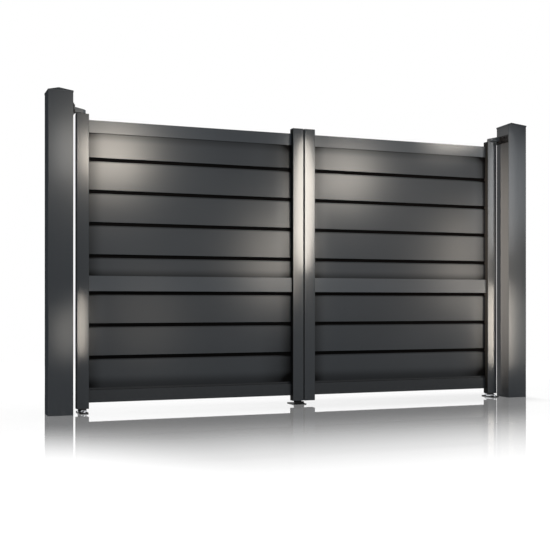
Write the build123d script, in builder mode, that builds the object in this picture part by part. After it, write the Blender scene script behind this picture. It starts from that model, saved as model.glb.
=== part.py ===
from build123d import *
import os

os.makedirs("parts", exist_ok=True)

# Aluminium double swing driveway gate, millimetres, Z up.
# X runs along the gate from the left post to the right post, Y points to the rear,
# and the leaves open to the rear. The origin is the centre of the left post's foot face.

# Posts
post_size = 150.0
post_wall = 4.0
post_corner = 3.0
post_inner_corner = 1.0
post_above_leaf = 105.0
clear_opening = 3100.0

# Post caps: a thin rim, a low pyramid and a spigot inside the post
cap_overhang = 1.5
cap_rim = 10.0
cap_rise = 30.0
cap_tip = 2.0
cap_wall = 3.0
cap_spigot = 25.0

# Plates inside the posts' feet, bolted to the ground
foot_thickness = 12.0
foot_corner = 2.0
foot_bolt_spacing = 90.0
foot_bolt_radius = 7.0

# Running and seating clearances
slip_fit = 0.3
pin_clearance = 0.05
swing_clearance = 5.0

# Leaf frame
hinge_gap = 36.0
meeting_gap = 8.0
ground_gap = 25.0
stile_width = 76.0
stile_depth = 54.0
stile_wall = 2.5
stile_corner = 3.0
stile_inner_corner = 1.0
lower_horn = 35.0
upper_horn = 32.0
rail_height = 78.0
rail_setback = 30.0
middle_rail_height = 95.0
middle_rail_setback = 17.0
rail_wall = 2.0
rail_edge = 1.2
channel_depth = 20.0

# Slats: hollow planks with a tongue on top, a groove below and webs between.
# The upper panel has full slats between its two cut ones.
slat_pitch = 200.0
shadow_gap = 22.0
slat_wall = 1.5
slat_edge = 1.2
slat_tuck = 15.0
slat_webs = 2
first_web = 68.0
web_pitch = 54.0
tongue_thickness = 6.0
tongue_engagement = 10.0
groove_relief = 2.0
lower_slats = 3
full_upper_slats = 3
foot_reveal = 14.0
first_upper_face = 113.0
last_upper_face = 153.0

# Plugs that close the stiles
plug_flange = 3.0
plug_depth = 30.0
plug_wall = 3.0
bush_wall = 6.0

# Top hinge: a bracket on the post's inner face and an arm over the hinge stile
bracket_thickness = 5.0
bracket_height = 56.0
bracket_margin = 3.0
bracket_edge = 1.0
bracket_bolt_radius = 4.5
bracket_bolt_lead = 14.0
bracket_bolt_spacing = 32.0
bracket_bolt_rise = 28.0
shelf_thickness = 12.0
shelf_lead = 39.0
shelf_corner = 3.0
arm_root_height = 38.0
arm_end_height = 19.0
arm_radius = 22.0
arm_edge = 1.5
top_pin_radius = 8.0
top_pin_length = 30.0
top_boss_radius = 14.0

# Floor pivot under each hinge stile
pivot_plate_width = 56.0
pivot_plate_length = 144.0
pivot_plate_thickness = 6.0
pivot_plate_corner = 8.0
pivot_bolt_margin = 12.0
pivot_bolt_radius = 5.5
pivot_pin_radius = 12.0
pivot_pin_length = 50.0
collar_radius = 30.0
collar_height = 11.0
collar_chamfer = 2.0
bush_skirt_radius = 27.0

# Centre stop on the ground, and the foot of the left leaf that meets it
stop_plate_width = 89.0
stop_plate_length = 132.0
stop_plate_thickness = 5.0
stop_plate_corner = 4.0
stop_plate_margin = 4.0
stop_block_width = 68.0
stop_block_depth = 18.0
stop_block_setback = 1.0
stop_block_edge = 1.5
stop_bolt_lead = 58.0
stop_bolt_margin = 18.0
stop_bolt_radius = 5.5
stop_foot_width = 52.0
stop_foot_depth = 14.0
stop_foot_height = 12.0
stop_foot_corner = 3.0

# Widths that follow from the sizes above
post_pitch = clear_opening + post_size
leaf_width = (clear_opening - 2 * hinge_gap - meeting_gap) / 2
left_hinge_x = post_size / 2 + hinge_gap + stile_width / 2
right_hinge_x = post_pitch - left_hinge_x
rail_length = leaf_width - 2 * stile_width

# Depths
leaf_back = post_size / 2
leaf_front = leaf_back - stile_depth
hinge_y = leaf_back - stile_depth / 2
rail_front = leaf_front + rail_setback
channel_front = rail_front + rail_wall
channel_back = leaf_back - rail_wall
slat_front = channel_front + slip_fit
slat_back = channel_back - slip_fit
tongue_back = slat_back - slat_wall - slip_fit
tongue_front = tongue_back - tongue_thickness
stop_block_front = leaf_front + stop_block_setback
pivot_bolt_spacing = pivot_plate_length - 2 * pivot_bolt_margin
stop_bolt_spacing = stop_plate_length - stop_bolt_lead - stop_bolt_margin

# Heights
bottom_rail_z = ground_gap + lower_horn
bottom_rail_top = bottom_rail_z + rail_height
lower_panel_z = bottom_rail_top + foot_reveal
middle_rail_z = lower_panel_z + lower_slats * slat_pitch
middle_rail_top = middle_rail_z + middle_rail_height
upper_panel_z = middle_rail_top + first_upper_face
top_slat_z = upper_panel_z + shadow_gap + full_upper_slats * slat_pitch
top_rail_z = top_slat_z + last_upper_face
leaf_top = top_rail_z + rail_height + upper_horn
post_height = leaf_top + post_above_leaf
arm_z = leaf_top + swing_clearance
slat_face = slat_pitch - shadow_gap

# Top hinge: distances from the pivot axis along X, and the bracket's bolts
post_reach = stile_width / 2 + hinge_gap
arm_reach = post_reach - bracket_thickness
stile_swing = ((stile_width / 2) ** 2 + (stile_depth / 2) ** 2) ** 0.5
shelf_reach = stile_swing + swing_clearance
bracket_front = bracket_margin - post_size / 2
bracket_top = arm_z + arm_root_height
bracket_bolt_y = bracket_front + bracket_bolt_lead + bracket_bolt_spacing / 2
bracket_bolt_z = bracket_top - bracket_height / 2


def band(y_low, y_high, z_low, z_high, mode=Mode.ADD):
    """Rectangle of a cross-section, given by its limits in depth and height."""
    with Locations(((y_low + y_high) / 2, (z_low + z_high) / 2)):
        Rectangle(y_high - y_low, z_high - z_low, mode=mode)


def bracket_bolts(mode):
    """Four bolt circles of the top hinge, on a plane of depth and height."""
    with Locations((bracket_bolt_y, bracket_bolt_z)):
        with GridLocations(bracket_bolt_spacing, bracket_bolt_rise, 2, 2):
            Circle(bracket_bolt_radius, mode=mode)


def post(x, direction):
    """Square hollow post on the ground, drilled for the top hinge on its inner side."""
    inner = post_size - 2 * post_wall
    with BuildPart() as tube:
        with BuildSketch():
            with Locations((x, 0)):
                RectangleRounded(post_size, post_size, post_corner)
                RectangleRounded(inner, inner, post_inner_corner, mode=Mode.SUBTRACT)
        extrude(amount=post_height)
        with BuildSketch(Plane.YZ.offset(x + direction * post_size / 2)):
            bracket_bolts(Mode.ADD)
        extrude(amount=-direction * post_wall, mode=Mode.SUBTRACT)
    return tube.part


def post_cap(x):
    """Low pyramid on a thin rim, hollow below, with a spigot that fits inside the post."""
    cap_size = post_size + 2 * cap_overhang
    spigot = post_size - 2 * post_wall - 2 * slip_fit
    hollow = spigot - 2 * cap_wall
    rim_top = post_height + cap_rim
    with BuildPart() as cap:
        with BuildSketch(Plane.XY.offset(post_height)):
            with Locations((x, 0)):
                Rectangle(cap_size, cap_size)
        extrude(amount=cap_rim)
        with BuildSketch(Plane.XY.offset(rim_top)):
            with Locations((x, 0)):
                Rectangle(cap_size, cap_size)
        with BuildSketch(Plane.XY.offset(rim_top + cap_rise)):
            with Locations((x, 0)):
                Rectangle(cap_tip, cap_tip)
        loft()
        with BuildSketch(Plane.XY.offset(post_height - cap_spigot)):
            with Locations((x, 0)):
                RectangleRounded(spigot, spigot, foot_corner)
        extrude(amount=cap_spigot)
        with BuildSketch(Plane.XY.offset(post_height - cap_spigot)):
            with Locations((x, 0)):
                Rectangle(hollow, hollow)
        extrude(amount=cap_spigot + cap_rim - cap_wall, mode=Mode.SUBTRACT)
        with BuildSketch(Plane.XY.offset(rim_top - cap_wall)):
            with Locations((x, 0)):
                Rectangle(hollow, hollow)
        with BuildSketch(Plane.XY.offset(rim_top + cap_rise - cap_wall)):
            with Locations((x, 0)):
                Rectangle(cap_tip, cap_tip)
        loft(mode=Mode.SUBTRACT)
    return cap.part


def foot_plate(x):
    """Plate inside the post's foot, with four holes for ground anchors."""
    size = post_size - 2 * post_wall - 2 * slip_fit
    with BuildPart() as plate:
        with BuildSketch():
            with Locations((x, 0)):
                RectangleRounded(size, size, foot_corner)
                with GridLocations(foot_bolt_spacing, foot_bolt_spacing, 2, 2):
                    Circle(foot_bolt_radius, mode=Mode.SUBTRACT)
        extrude(amount=foot_thickness)
    return plate.part


def hinge_bracket(hinge_x, direction):
    """Plate on the post's inner face with a shelf that the arm rests on."""
    with BuildPart() as bracket:
        with BuildSketch(Plane.YZ.offset(hinge_x - direction * post_reach)):
            band(bracket_front, -bracket_front, bracket_top - bracket_height, bracket_top)
            bracket_bolts(Mode.SUBTRACT)
        extrude(amount=direction * bracket_thickness)
        outer_face = bracket.faces().sort_by(Axis.X)[-1 if direction > 0 else 0]
        fillet(outer_face.outer_wire().edges(), bracket_edge)
        with BuildSketch(Plane.YZ.offset(hinge_x - direction * arm_reach)):
            band(
                hinge_y - arm_radius - shelf_lead,
                hinge_y + arm_radius,
                arm_z - shelf_thickness,
                arm_z,
            )
        extrude(amount=direction * (arm_reach - shelf_reach))
        end_face = bracket.faces().sort_by(Axis.X)[-1 if direction > 0 else 0]
        fillet(end_face.edges().filter_by(Axis.Z), shelf_corner)
    return bracket.part


def hinge_arm(hinge_x, direction):
    """Arm that gets lower from its root to its round end, with the top pin below it."""
    root_x = hinge_x - direction * arm_reach
    tip_x = hinge_x + direction * arm_radius
    with BuildPart() as arm:
        with BuildSketch(Plane.XY.offset(arm_z)):
            with Locations((hinge_x, hinge_y)):
                Circle(arm_radius)
            with Locations(((root_x + hinge_x) / 2, hinge_y)):
                Rectangle(arm_reach, 2 * arm_radius)
        extrude(amount=arm_root_height)
        with BuildSketch(Plane.XZ):
            with BuildLine():
                Polyline(
                    (root_x, bracket_top),
                    (tip_x, arm_z + arm_end_height),
                    (tip_x, bracket_top),
                    close=True,
                )
            make_face()
        extrude(amount=post_size, both=True, mode=Mode.SUBTRACT)
        top_edges = arm.faces().sort_by(Axis.Z)[-1].edges().sort_by(Axis.X)
        fillet(top_edges[1:] if direction > 0 else top_edges[:-1], arm_edge)
        with BuildSketch(Plane.XY.offset(arm_z)):
            with Locations((hinge_x, hinge_y)):
                Circle(top_pin_radius)
        extrude(amount=-(swing_clearance + top_pin_length))
    return arm.part


def floor_pivot(hinge_x):
    """Ground plate with the upright pin that the leaf turns on."""
    with BuildPart() as pivot:
        with BuildSketch():
            with Locations((hinge_x, hinge_y)):
                RectangleRounded(pivot_plate_width, pivot_plate_length, pivot_plate_corner)
                with GridLocations(0, pivot_bolt_spacing, 1, 2):
                    Circle(pivot_bolt_radius, mode=Mode.SUBTRACT)
        extrude(amount=pivot_plate_thickness)
        with BuildSketch(Plane.XY.offset(pivot_plate_thickness)):
            with Locations((hinge_x, hinge_y)):
                Circle(pivot_pin_radius)
        extrude(amount=pivot_pin_length)
        chamfer(pivot.faces().sort_by(Axis.Z)[-1].edges(), collar_chamfer)
    return pivot.part


def pivot_collar(hinge_x):
    """Bright ring round the floor pin that takes the leaf's weight."""
    with BuildPart() as collar:
        with BuildSketch(Plane.XY.offset(pivot_plate_thickness)):
            with Locations((hinge_x, hinge_y)):
                Circle(collar_radius)
                Circle(pivot_pin_radius + slip_fit, mode=Mode.SUBTRACT)
        extrude(amount=collar_height)
        chamfer(collar.faces().sort_by(Axis.Z)[-1].outer_wire().edges(), collar_chamfer)
    return collar.part


def centre_stop(meeting_x):
    """Low plate on the ground with a block in front that the left leaf's foot closes against."""
    plate_x = meeting_x - stop_block_width - stop_plate_margin + stop_plate_width / 2
    plate_front = stop_block_front - stop_plate_margin
    block_x = meeting_x - stop_block_width / 2
    block_top = ground_gap - swing_clearance
    with BuildPart() as stop:
        with BuildSketch():
            with Locations((plate_x, plate_front + stop_plate_length / 2)):
                RectangleRounded(stop_plate_width, stop_plate_length, stop_plate_corner)
            with Locations((plate_x, plate_front + stop_bolt_lead + stop_bolt_spacing / 2)):
                with GridLocations(0, stop_bolt_spacing, 1, 2):
                    Circle(stop_bolt_radius, mode=Mode.SUBTRACT)
        extrude(amount=stop_plate_thickness)
        with BuildSketch(Plane.XY.offset(stop_plate_thickness)):
            with Locations((block_x, stop_block_front + stop_block_depth / 2)):
                Rectangle(stop_block_width, stop_block_depth)
        extrude(amount=block_top - stop_plate_thickness)
        fillet(stop.faces().sort_by(Axis.Z)[-1].edges(), stop_block_edge)
    return stop.part


def stop_foot(meeting_x):
    """Rubber foot below the left meeting stile that closes behind the block."""
    foot_x = meeting_x - stop_block_width / 2
    foot_front = stop_block_front + stop_block_depth + swing_clearance
    with BuildPart() as foot:
        with BuildSketch(Plane.XY.offset(ground_gap)):
            with Locations((foot_x, foot_front + stop_foot_depth / 2)):
                RectangleRounded(stop_foot_width, stop_foot_depth, stop_foot_corner)
        extrude(amount=-stop_foot_height)
    return foot.part


def stile(x):
    """Upright tube of a leaf, shorter than the leaf by its two end flanges."""
    with BuildPart() as tube:
        with BuildSketch(Plane.XY.offset(ground_gap + plug_flange)):
            with Locations((x, hinge_y)):
                RectangleRounded(stile_width, stile_depth, stile_corner)
                RectangleRounded(
                    stile_width - 2 * stile_wall,
                    stile_depth - 2 * stile_wall,
                    stile_inner_corner,
                    mode=Mode.SUBTRACT,
                )
        extrude(amount=leaf_top - ground_gap - 2 * plug_flange)
    return tube.part


def stile_plug(x, tube_end, outward):
    """Flange on a stile's end with a hollow plug inside the tube; outward is 1 at the top."""
    plug_width = stile_width - 2 * (stile_wall + slip_fit)
    plug_breadth = stile_depth - 2 * (stile_wall + slip_fit)
    with BuildPart() as plug:
        with BuildSketch(Plane.XY.offset(tube_end)):
            with Locations((x, hinge_y)):
                RectangleRounded(stile_width, stile_depth, stile_corner)
        extrude(amount=outward * plug_flange)
        with BuildSketch(Plane.XY.offset(tube_end)):
            with Locations((x, hinge_y)):
                RectangleRounded(plug_width, plug_breadth, stile_inner_corner)
                Rectangle(
                    plug_width - 2 * plug_wall,
                    plug_breadth - 2 * plug_wall,
                    mode=Mode.SUBTRACT,
                )
        extrude(amount=-outward * plug_depth)
    return plug.part


def top_bush(x):
    """Upper plug of a hinge stile, bored for the top pin, with a boss below the arm."""
    blank = stile_plug(x, leaf_top - plug_flange, 1)
    with BuildPart() as bush:
        add(blank)
        with BuildSketch(Plane.XY.offset(leaf_top - plug_flange)):
            with Locations((x, hinge_y)):
                Circle(top_pin_radius + bush_wall)
        extrude(amount=-plug_depth)
        with BuildSketch(Plane.XY.offset(leaf_top)):
            with Locations((x, hinge_y)):
                Circle(top_boss_radius)
        extrude(amount=swing_clearance - slip_fit)
        with BuildSketch(Plane.XY.offset(arm_z)):
            with Locations((x, hinge_y)):
                Circle(top_pin_radius + pin_clearance)
        extrude(amount=-(swing_clearance + plug_flange + plug_depth), mode=Mode.SUBTRACT)
    return bush.part


def bottom_bush(x):
    """Lower plug of a hinge stile with a round skirt that rides on the collar."""
    blank = stile_plug(x, ground_gap + plug_flange, -1)
    skirt_z = pivot_plate_thickness + collar_height + slip_fit
    with BuildPart() as bush:
        add(blank)
        with BuildSketch(Plane.XY.offset(ground_gap + plug_flange)):
            with Locations((x, hinge_y)):
                Circle(pivot_pin_radius + bush_wall)
        extrude(amount=plug_depth)
        with BuildSketch(Plane.XY.offset(skirt_z)):
            with Locations((x, hinge_y)):
                Circle(bush_skirt_radius)
        extrude(amount=ground_gap - skirt_z)
        with BuildSketch(Plane.XY.offset(skirt_z)):
            with Locations((x, hinge_y)):
                Circle(pivot_pin_radius + pin_clearance)
        extrude(amount=ground_gap + plug_flange + plug_depth - skirt_z, mode=Mode.SUBTRACT)
    return bush.part


def top_rail(x):
    """Hollow rail with a channel below for the topmost slat."""
    channel_top = top_rail_z + channel_depth
    rail_top = top_rail_z + rail_height
    with BuildPart() as rail:
        with BuildSketch(Plane.YZ.offset(x)) as section:
            band(rail_front, leaf_back, top_rail_z, rail_top)
            fillet(section.vertices(), rail_edge)
            band(channel_front, channel_back, top_rail_z, channel_top, Mode.SUBTRACT)
            band(
                channel_front,
                channel_back,
                channel_top + rail_wall,
                rail_top - rail_wall,
                Mode.SUBTRACT,
            )
        extrude(amount=rail_length)
    return rail.part


def middle_rail(x):
    """Deeper rail with a channel above, a channel below and a hollow front."""
    front = leaf_front + middle_rail_setback
    lower_channel = middle_rail_z + channel_depth
    upper_channel = middle_rail_top - channel_depth
    with BuildPart() as rail:
        with BuildSketch(Plane.YZ.offset(x)) as section:
            band(front, leaf_back, middle_rail_z, middle_rail_top)
            fillet(section.vertices(), rail_edge)
            band(channel_front, channel_back, middle_rail_z, lower_channel, Mode.SUBTRACT)
            band(channel_front, channel_back, upper_channel, middle_rail_top, Mode.SUBTRACT)
            band(
                front + rail_wall,
                channel_front - rail_wall,
                middle_rail_z + rail_wall,
                middle_rail_top - rail_wall,
                Mode.SUBTRACT,
            )
            band(
                channel_front,
                channel_back,
                lower_channel + rail_wall,
                upper_channel - rail_wall,
                Mode.SUBTRACT,
            )
        extrude(amount=rail_length)
    return rail.part


def bottom_rail(x):
    """Hollow rail with a tongue that enters the groove of the lowest slat."""
    tongue_top = lower_panel_z + tongue_engagement
    with BuildPart() as rail:
        with BuildSketch(Plane.YZ.offset(x)) as section:
            band(rail_front, leaf_back, bottom_rail_z, bottom_rail_top)
            fillet(section.vertices(), rail_edge)
            band(
                rail_front + rail_wall,
                leaf_back - rail_wall,
                bottom_rail_z + rail_wall,
                bottom_rail_top - rail_wall,
                Mode.SUBTRACT,
            )
            band(tongue_front, tongue_back, bottom_rail_top - rail_wall, tongue_top)
        extrude(amount=rail_length)
    return rail.part


def slat(x, face_low, face_high, grooved, tongued):
    """Hollow plank; a sawn edge has no groove or tongue and lies in a rail's channel."""
    groove_top = face_low + tongue_engagement + groove_relief
    web_base = face_low if grooved else face_high - slat_face
    with BuildPart() as plank:
        with BuildSketch(Plane.YZ.offset(x)) as section:
            band(slat_front, slat_back, face_low, face_high)
            fillet(section.vertices(), slat_edge)
            hollow_low = groove_top + slat_wall if grooved else face_low - slat_edge
            hollow_high = face_high - slat_wall if tongued else face_high + slat_edge
            band(
                slat_front + slat_wall,
                slat_back - slat_wall,
                hollow_low,
                hollow_high,
                Mode.SUBTRACT,
            )
            for number in range(slat_webs):
                web_z = web_base + first_web + number * web_pitch
                if hollow_low < web_z < hollow_high:
                    band(slat_front, slat_back, web_z - slat_wall / 2, web_z + slat_wall / 2)
            if grooved:
                band(
                    tongue_front - slip_fit,
                    tongue_back + slip_fit,
                    face_low,
                    groove_top,
                    Mode.SUBTRACT,
                )
                band(
                    slat_front + slat_wall,
                    tongue_front - slip_fit - slat_wall,
                    face_low + slat_wall,
                    hollow_low,
                    Mode.SUBTRACT,
                )
            if tongued:
                tongue_top = face_high + shadow_gap + tongue_engagement
                band(tongue_front, tongue_back, face_high - slat_wall, tongue_top)
        extrude(amount=rail_length)
    return plank.part


def slat_faces():
    """Lower and upper limit of each slat's face with its groove and tongue, from the top."""
    stack = [(top_slat_z, top_rail_z + slat_tuck, True, False)]
    for step in range(1, full_upper_slats + 1):
        low = top_slat_z - step * slat_pitch
        stack.append((low, low + slat_face, True, True))
    stack.append((middle_rail_top - slat_tuck, upper_panel_z, False, True))
    for step in range(1, lower_slats + 1):
        low = middle_rail_z - step * slat_pitch
        stack.append((low, low + slat_face, True, True))
    return stack


def write(name, part):
    """Label a finished piece and write its file."""
    part.label = name
    export_step(part, "parts/" + name + ".step")


def write_leaf(side, hinge_x, direction):
    """All pieces of one leaf; direction is 1 where the leaf runs along +X from its hinge."""
    meeting_stile_x = hinge_x + direction * (leaf_width - stile_width)
    rail_x = min(hinge_x, meeting_stile_x) + stile_width / 2
    write(side + "_hinge_stile", stile(hinge_x))
    write(side + "_meeting_stile", stile(meeting_stile_x))
    write(side + "_top_rail", top_rail(rail_x))
    write(side + "_middle_rail", middle_rail(rail_x))
    write(side + "_bottom_rail", bottom_rail(rail_x))
    for number, limits in enumerate(slat_faces(), start=1):
        write(side + "_slat_" + str(number), slat(rail_x, *limits))
    write(side + "_bottom_bush", bottom_bush(hinge_x))
    plugs = [
        top_bush(hinge_x),
        stile_plug(meeting_stile_x, leaf_top - plug_flange, 1),
        stile_plug(meeting_stile_x, ground_gap + plug_flange, -1),
    ]
    write(side + "_stile_plugs", Compound(children=plugs))


for side, post_x, hinge_x, direction in (
    ("left", 0, left_hinge_x, 1),
    ("right", post_pitch, right_hinge_x, -1),
):
    write(side + "_post", post(post_x, direction))
    write(side + "_post_cap", post_cap(post_x))
    write(side + "_foot_plate", foot_plate(post_x))
    write(side + "_hinge_bracket", hinge_bracket(hinge_x, direction))
    write(side + "_hinge_arm", hinge_arm(hinge_x, direction))
    write(side + "_floor_pivot", floor_pivot(hinge_x))
    write_leaf(side, hinge_x, direction)

collars = [pivot_collar(left_hinge_x), pivot_collar(right_hinge_x)]
write("pivot_collars", Compound(children=collars))
write("centre_stop", centre_stop(post_pitch / 2))
write("left_stop_foot", stop_foot(post_pitch / 2))
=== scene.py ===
"""Finish, fixings and studio of an aluminium double swing driveway gate, in metres.

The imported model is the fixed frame: X runs from the left post to the right post,
Y to the rear and Z up. Every piece added here sits on a part of that frame.
"""

import math

import bmesh
import bpy
from bpy.props import FloatProperty, FloatVectorProperty, IntProperty, PointerProperty
from mathutils import Matrix, Vector


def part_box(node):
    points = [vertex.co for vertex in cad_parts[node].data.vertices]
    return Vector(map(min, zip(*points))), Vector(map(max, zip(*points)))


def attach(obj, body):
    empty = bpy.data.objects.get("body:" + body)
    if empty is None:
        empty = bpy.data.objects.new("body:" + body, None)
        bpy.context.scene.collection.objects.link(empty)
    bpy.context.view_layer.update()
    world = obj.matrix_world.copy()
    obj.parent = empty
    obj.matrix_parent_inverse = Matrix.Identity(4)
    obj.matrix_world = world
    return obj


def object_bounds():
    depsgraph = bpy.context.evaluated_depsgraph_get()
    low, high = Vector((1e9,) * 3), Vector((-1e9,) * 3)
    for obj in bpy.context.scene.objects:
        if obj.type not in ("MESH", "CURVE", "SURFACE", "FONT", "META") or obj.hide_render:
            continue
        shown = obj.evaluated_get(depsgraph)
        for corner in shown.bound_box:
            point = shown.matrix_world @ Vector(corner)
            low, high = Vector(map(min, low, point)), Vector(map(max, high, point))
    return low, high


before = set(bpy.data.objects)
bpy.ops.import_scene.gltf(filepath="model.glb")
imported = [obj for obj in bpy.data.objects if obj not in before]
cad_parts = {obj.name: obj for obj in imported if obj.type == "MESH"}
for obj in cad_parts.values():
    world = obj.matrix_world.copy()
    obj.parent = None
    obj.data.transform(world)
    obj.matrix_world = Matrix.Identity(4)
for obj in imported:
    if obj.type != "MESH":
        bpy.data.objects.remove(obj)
cad_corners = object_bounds()

bl_info = {
    "name": "Driveway Gate Finish",
    "version": (1, 0, 0),
    "blender": (4, 5, 0),
    "location": "3D View > Sidebar > Gate",
    "description": "Gives a double swing gate its coats, bolts, welds and studio",
    "category": "Object",
}

# The two sides of the gate, each with the direction along X from its post to its leaf.
SIDES = {"left": 1.0, "right": -1.0}


def both(part):
    """Names of the left and the right copy of a part."""
    return tuple(side + "_" + part for side in SIDES)


POSTS = both("post")
CAPS = both("post_cap")
ARMS = both("hinge_arm")
BRACKETS = both("hinge_bracket")
PIVOTS = both("floor_pivot")
FOOT_PLATES = both("foot_plate")
BUSHES = both("bottom_bush")
STILES = both("hinge_stile") + both("meeting_stile")
PLUGS = both("stile_plugs")
TOP_RAILS = both("top_rail")
MIDDLE_RAILS = both("middle_rail")
BOTTOM_RAILS = both("bottom_rail")
SLATS = tuple(name for name in sorted(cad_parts) if "_slat_" in name)

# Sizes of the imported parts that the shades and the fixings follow.
SHADOW_GAP = 0.022
BRACKET_PLATE = 0.005
BRACKET_HEIGHT = 0.056
BRACKET_BOLT_LEAD = 0.014
BRACKET_BOLT_SPACING = 0.032
BRACKET_BOLT_RISE = 0.028
ARM_ROOT_HEIGHT = 0.038
PIVOT_PLATE = 0.006
PIVOT_BOLT_MARGIN = 0.012
STOP_PLATE = 0.005
STOP_PLATE_MARGIN = 0.004
STOP_BLOCK_WIDTH = 0.068
STOP_BLOCK_DEPTH = 0.018
STOP_BOLT_LEAD = 0.058
STOP_BOLT_MARGIN = 0.018

# Fixings: washers, free ends of studs, turns in radians, and margins of the weld beads.
BRACKET_WASHER_THICKNESS = 0.0016
BRACKET_BOLT_TWIST = 0.35
ANCHOR_WASHER_THICKNESS = 0.0020
ANCHOR_STUD_LENGTH = 0.0035
ANCHOR_TWISTS = (0.4, 0.9)
SCREW_TWISTS = (0.3, 1.0)
WELD_TOP_MARGIN = 0.004
WELD_END_MARGIN = 0.002

# Steps round a turned piece, a thread and a weld bead.
ROUND_STEPS = 48
THREAD_STEPS = 32
BEAD_STEPS = 10

# Corners of a hexagon are turned off from this share of its width, at this slope.
CHAMFER_START = 0.97
CHAMFER_SLOPE = 0.577

# Directions of the drawn lines in a coat, as stretches of its noise along X, Y and Z.
LINES_UPRIGHT = (150.0, 150.0, 2.0)
LINES_LEVEL = (2.0, 150.0, 150.0)
LINES_NONE = (60.0, 60.0, 60.0)

# Colour, roughness and scale of the grain of the bottom bushes and of the stop foot.
PLASTIC = ((0.012, 0.012, 0.013), 0.46, 1500.0)
RUBBER = ((0.010, 0.010, 0.010), 0.72, 700.0)

# Floor: how far it lies below the feet, its greys (the darker mirror grey paints a shadow
# under the leaves), and how many metres less its mirror image reaches on the left.
FLOOR_DROP = 0.0002
FLOOR_GREY = 0.5
FAR_FLOOR_LIGHT = 0.4
POLISH = 0.93
PAINTED_SHADOW_POLISH = 0.47
LEFT_REACH_LOSS = 0.5

# Each soft lamp: where its highlight lies on the gate's front (X, Z), how far in front
# of the gate it stands, its width and height, its power in watts, how cool it is, and
# the full angle in degrees of the cone that its grid lets through.
LAMPS = (
    ("lamp_left_upper", 0.34, 1.60, 1.6, 0.45, 0.40, 3.00, 0.0, 60.0),
    ("lamp_left_foot", 0.138, 0.54, 0.5, 0.06, 0.42, 0.11, 0.0, 42.0),
    ("lamp_left_low", 0.55, 0.60, 1.6, 0.55, 0.70, 0.30, 0.0, 60.0),
    ("lamp_left_post_upper", 0.01, 1.58, 0.8, 0.12, 0.40, 0.07, 0.5, 40.0),
    ("lamp_left_post_lower", 0.01, 0.50, 0.8, 0.12, 0.35, 0.07, 0.2, 40.0),
    ("lamp_left_inner", 1.42, 0.97, 1.6, 0.35, 0.75, 1.40, 0.0, 60.0),
    ("lamp_meeting", 1.626, 1.33, 0.5, 0.14, 0.96, 0.72, 0.1, 38.0),
    ("lamp_right_inner", 1.94, 1.55, 1.6, 0.45, 0.45, 2.30, 0.1, 60.0),
    ("lamp_right_outer", 2.87, 0.98, 1.6, 0.30, 0.95, 1.40, 0.0, 60.0),
    ("lamp_right_rail", 2.80, 1.84, 0.6, 0.40, 0.05, 0.53, 0.1, 60.0),
    ("lamp_right_foot", 3.100, 0.52, 0.5, 0.06, 0.66, 0.26, 0.0, 42.0),
    ("lamp_right_stile", 3.110, 1.45, 0.5, 0.06, 0.95, 0.11, 0.7, 36.0),
    ("lamp_right_post_lower", 3.26, 0.48, 0.8, 0.14, 0.60, 0.08, 0.3, 40.0),
    ("lamp_right_post_upper", 3.26, 1.50, 0.8, 0.16, 0.80, 0.12, 0.9, 40.0),
)
# A tall lamp far to the left lights the side of the right post.
SIDE_LAMP_PLACE = (-0.50, -0.32, 1.00)
SIDE_LAMP_TARGET = (3.175, -0.03, 1.00)
SIDE_LAMP_SIZE = (0.16, 1.70)
SIDE_LAMP_POWER = 10.0
SIDE_LAMP_SPREAD = math.radians(8.0)
SIDE_LAMP_COLOUR = (1.0, 0.77, 0.58)


class GateFinishes(bpy.types.PropertyGroup):
    """Colours and gloss of the gate's surfaces."""

    coat_colour: FloatVectorProperty(
        name="Coat colour",
        description="Anthracite powder coat on posts and leaves",
        subtype="COLOR",
        min=0.0,
        max=1.0,
        default=(0.0250, 0.0295, 0.0350),
    )
    post_roughness: FloatProperty(
        name="Post roughness",
        description="Roughness of the coat on the posts, arms and plugs",
        subtype="FACTOR",
        min=0.0,
        max=1.0,
        default=0.295,
    )
    cap_roughness: FloatProperty(
        name="Cap roughness",
        description="Roughness of the coat on the post caps",
        subtype="FACTOR",
        min=0.0,
        max=1.0,
        default=0.5,
    )
    stile_roughness: FloatProperty(
        name="Stile roughness",
        description="Roughness of the coat on the stiles",
        subtype="FACTOR",
        min=0.0,
        max=1.0,
        default=0.20,
    )
    rail_roughness: FloatProperty(
        name="Rail roughness",
        description="Roughness of the coat on the rails",
        subtype="FACTOR",
        min=0.0,
        max=1.0,
        default=0.295,
    )
    slat_roughness: FloatProperty(
        name="Slat roughness",
        description="Roughness of the coat on the slats",
        subtype="FACTOR",
        min=0.0,
        max=1.0,
        default=0.295,
    )
    black_colour: FloatVectorProperty(
        name="Black colour",
        description="Coated steel of brackets, floor pivots, centre stop, bolts and welds",
        subtype="COLOR",
        min=0.0,
        max=1.0,
        default=(0.006, 0.006, 0.0065),
    )
    zinc_colour: FloatVectorProperty(
        name="Zinc colour",
        description="Plated steel of collars, ground anchors and stop screws",
        subtype="COLOR",
        min=0.0,
        max=1.0,
        default=(0.68, 0.69, 0.70),
    )
    plate_colour: FloatVectorProperty(
        name="Plate colour",
        description="Bare aluminium of the foot plates",
        subtype="COLOR",
        min=0.0,
        max=1.0,
        default=(0.72, 0.73, 0.74),
    )
    dust_colour: FloatVectorProperty(
        name="Dust colour",
        description="Dust that settles on ledges and near the ground",
        subtype="COLOR",
        min=0.0,
        max=1.0,
        default=(0.22, 0.21, 0.19),
    )


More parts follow.
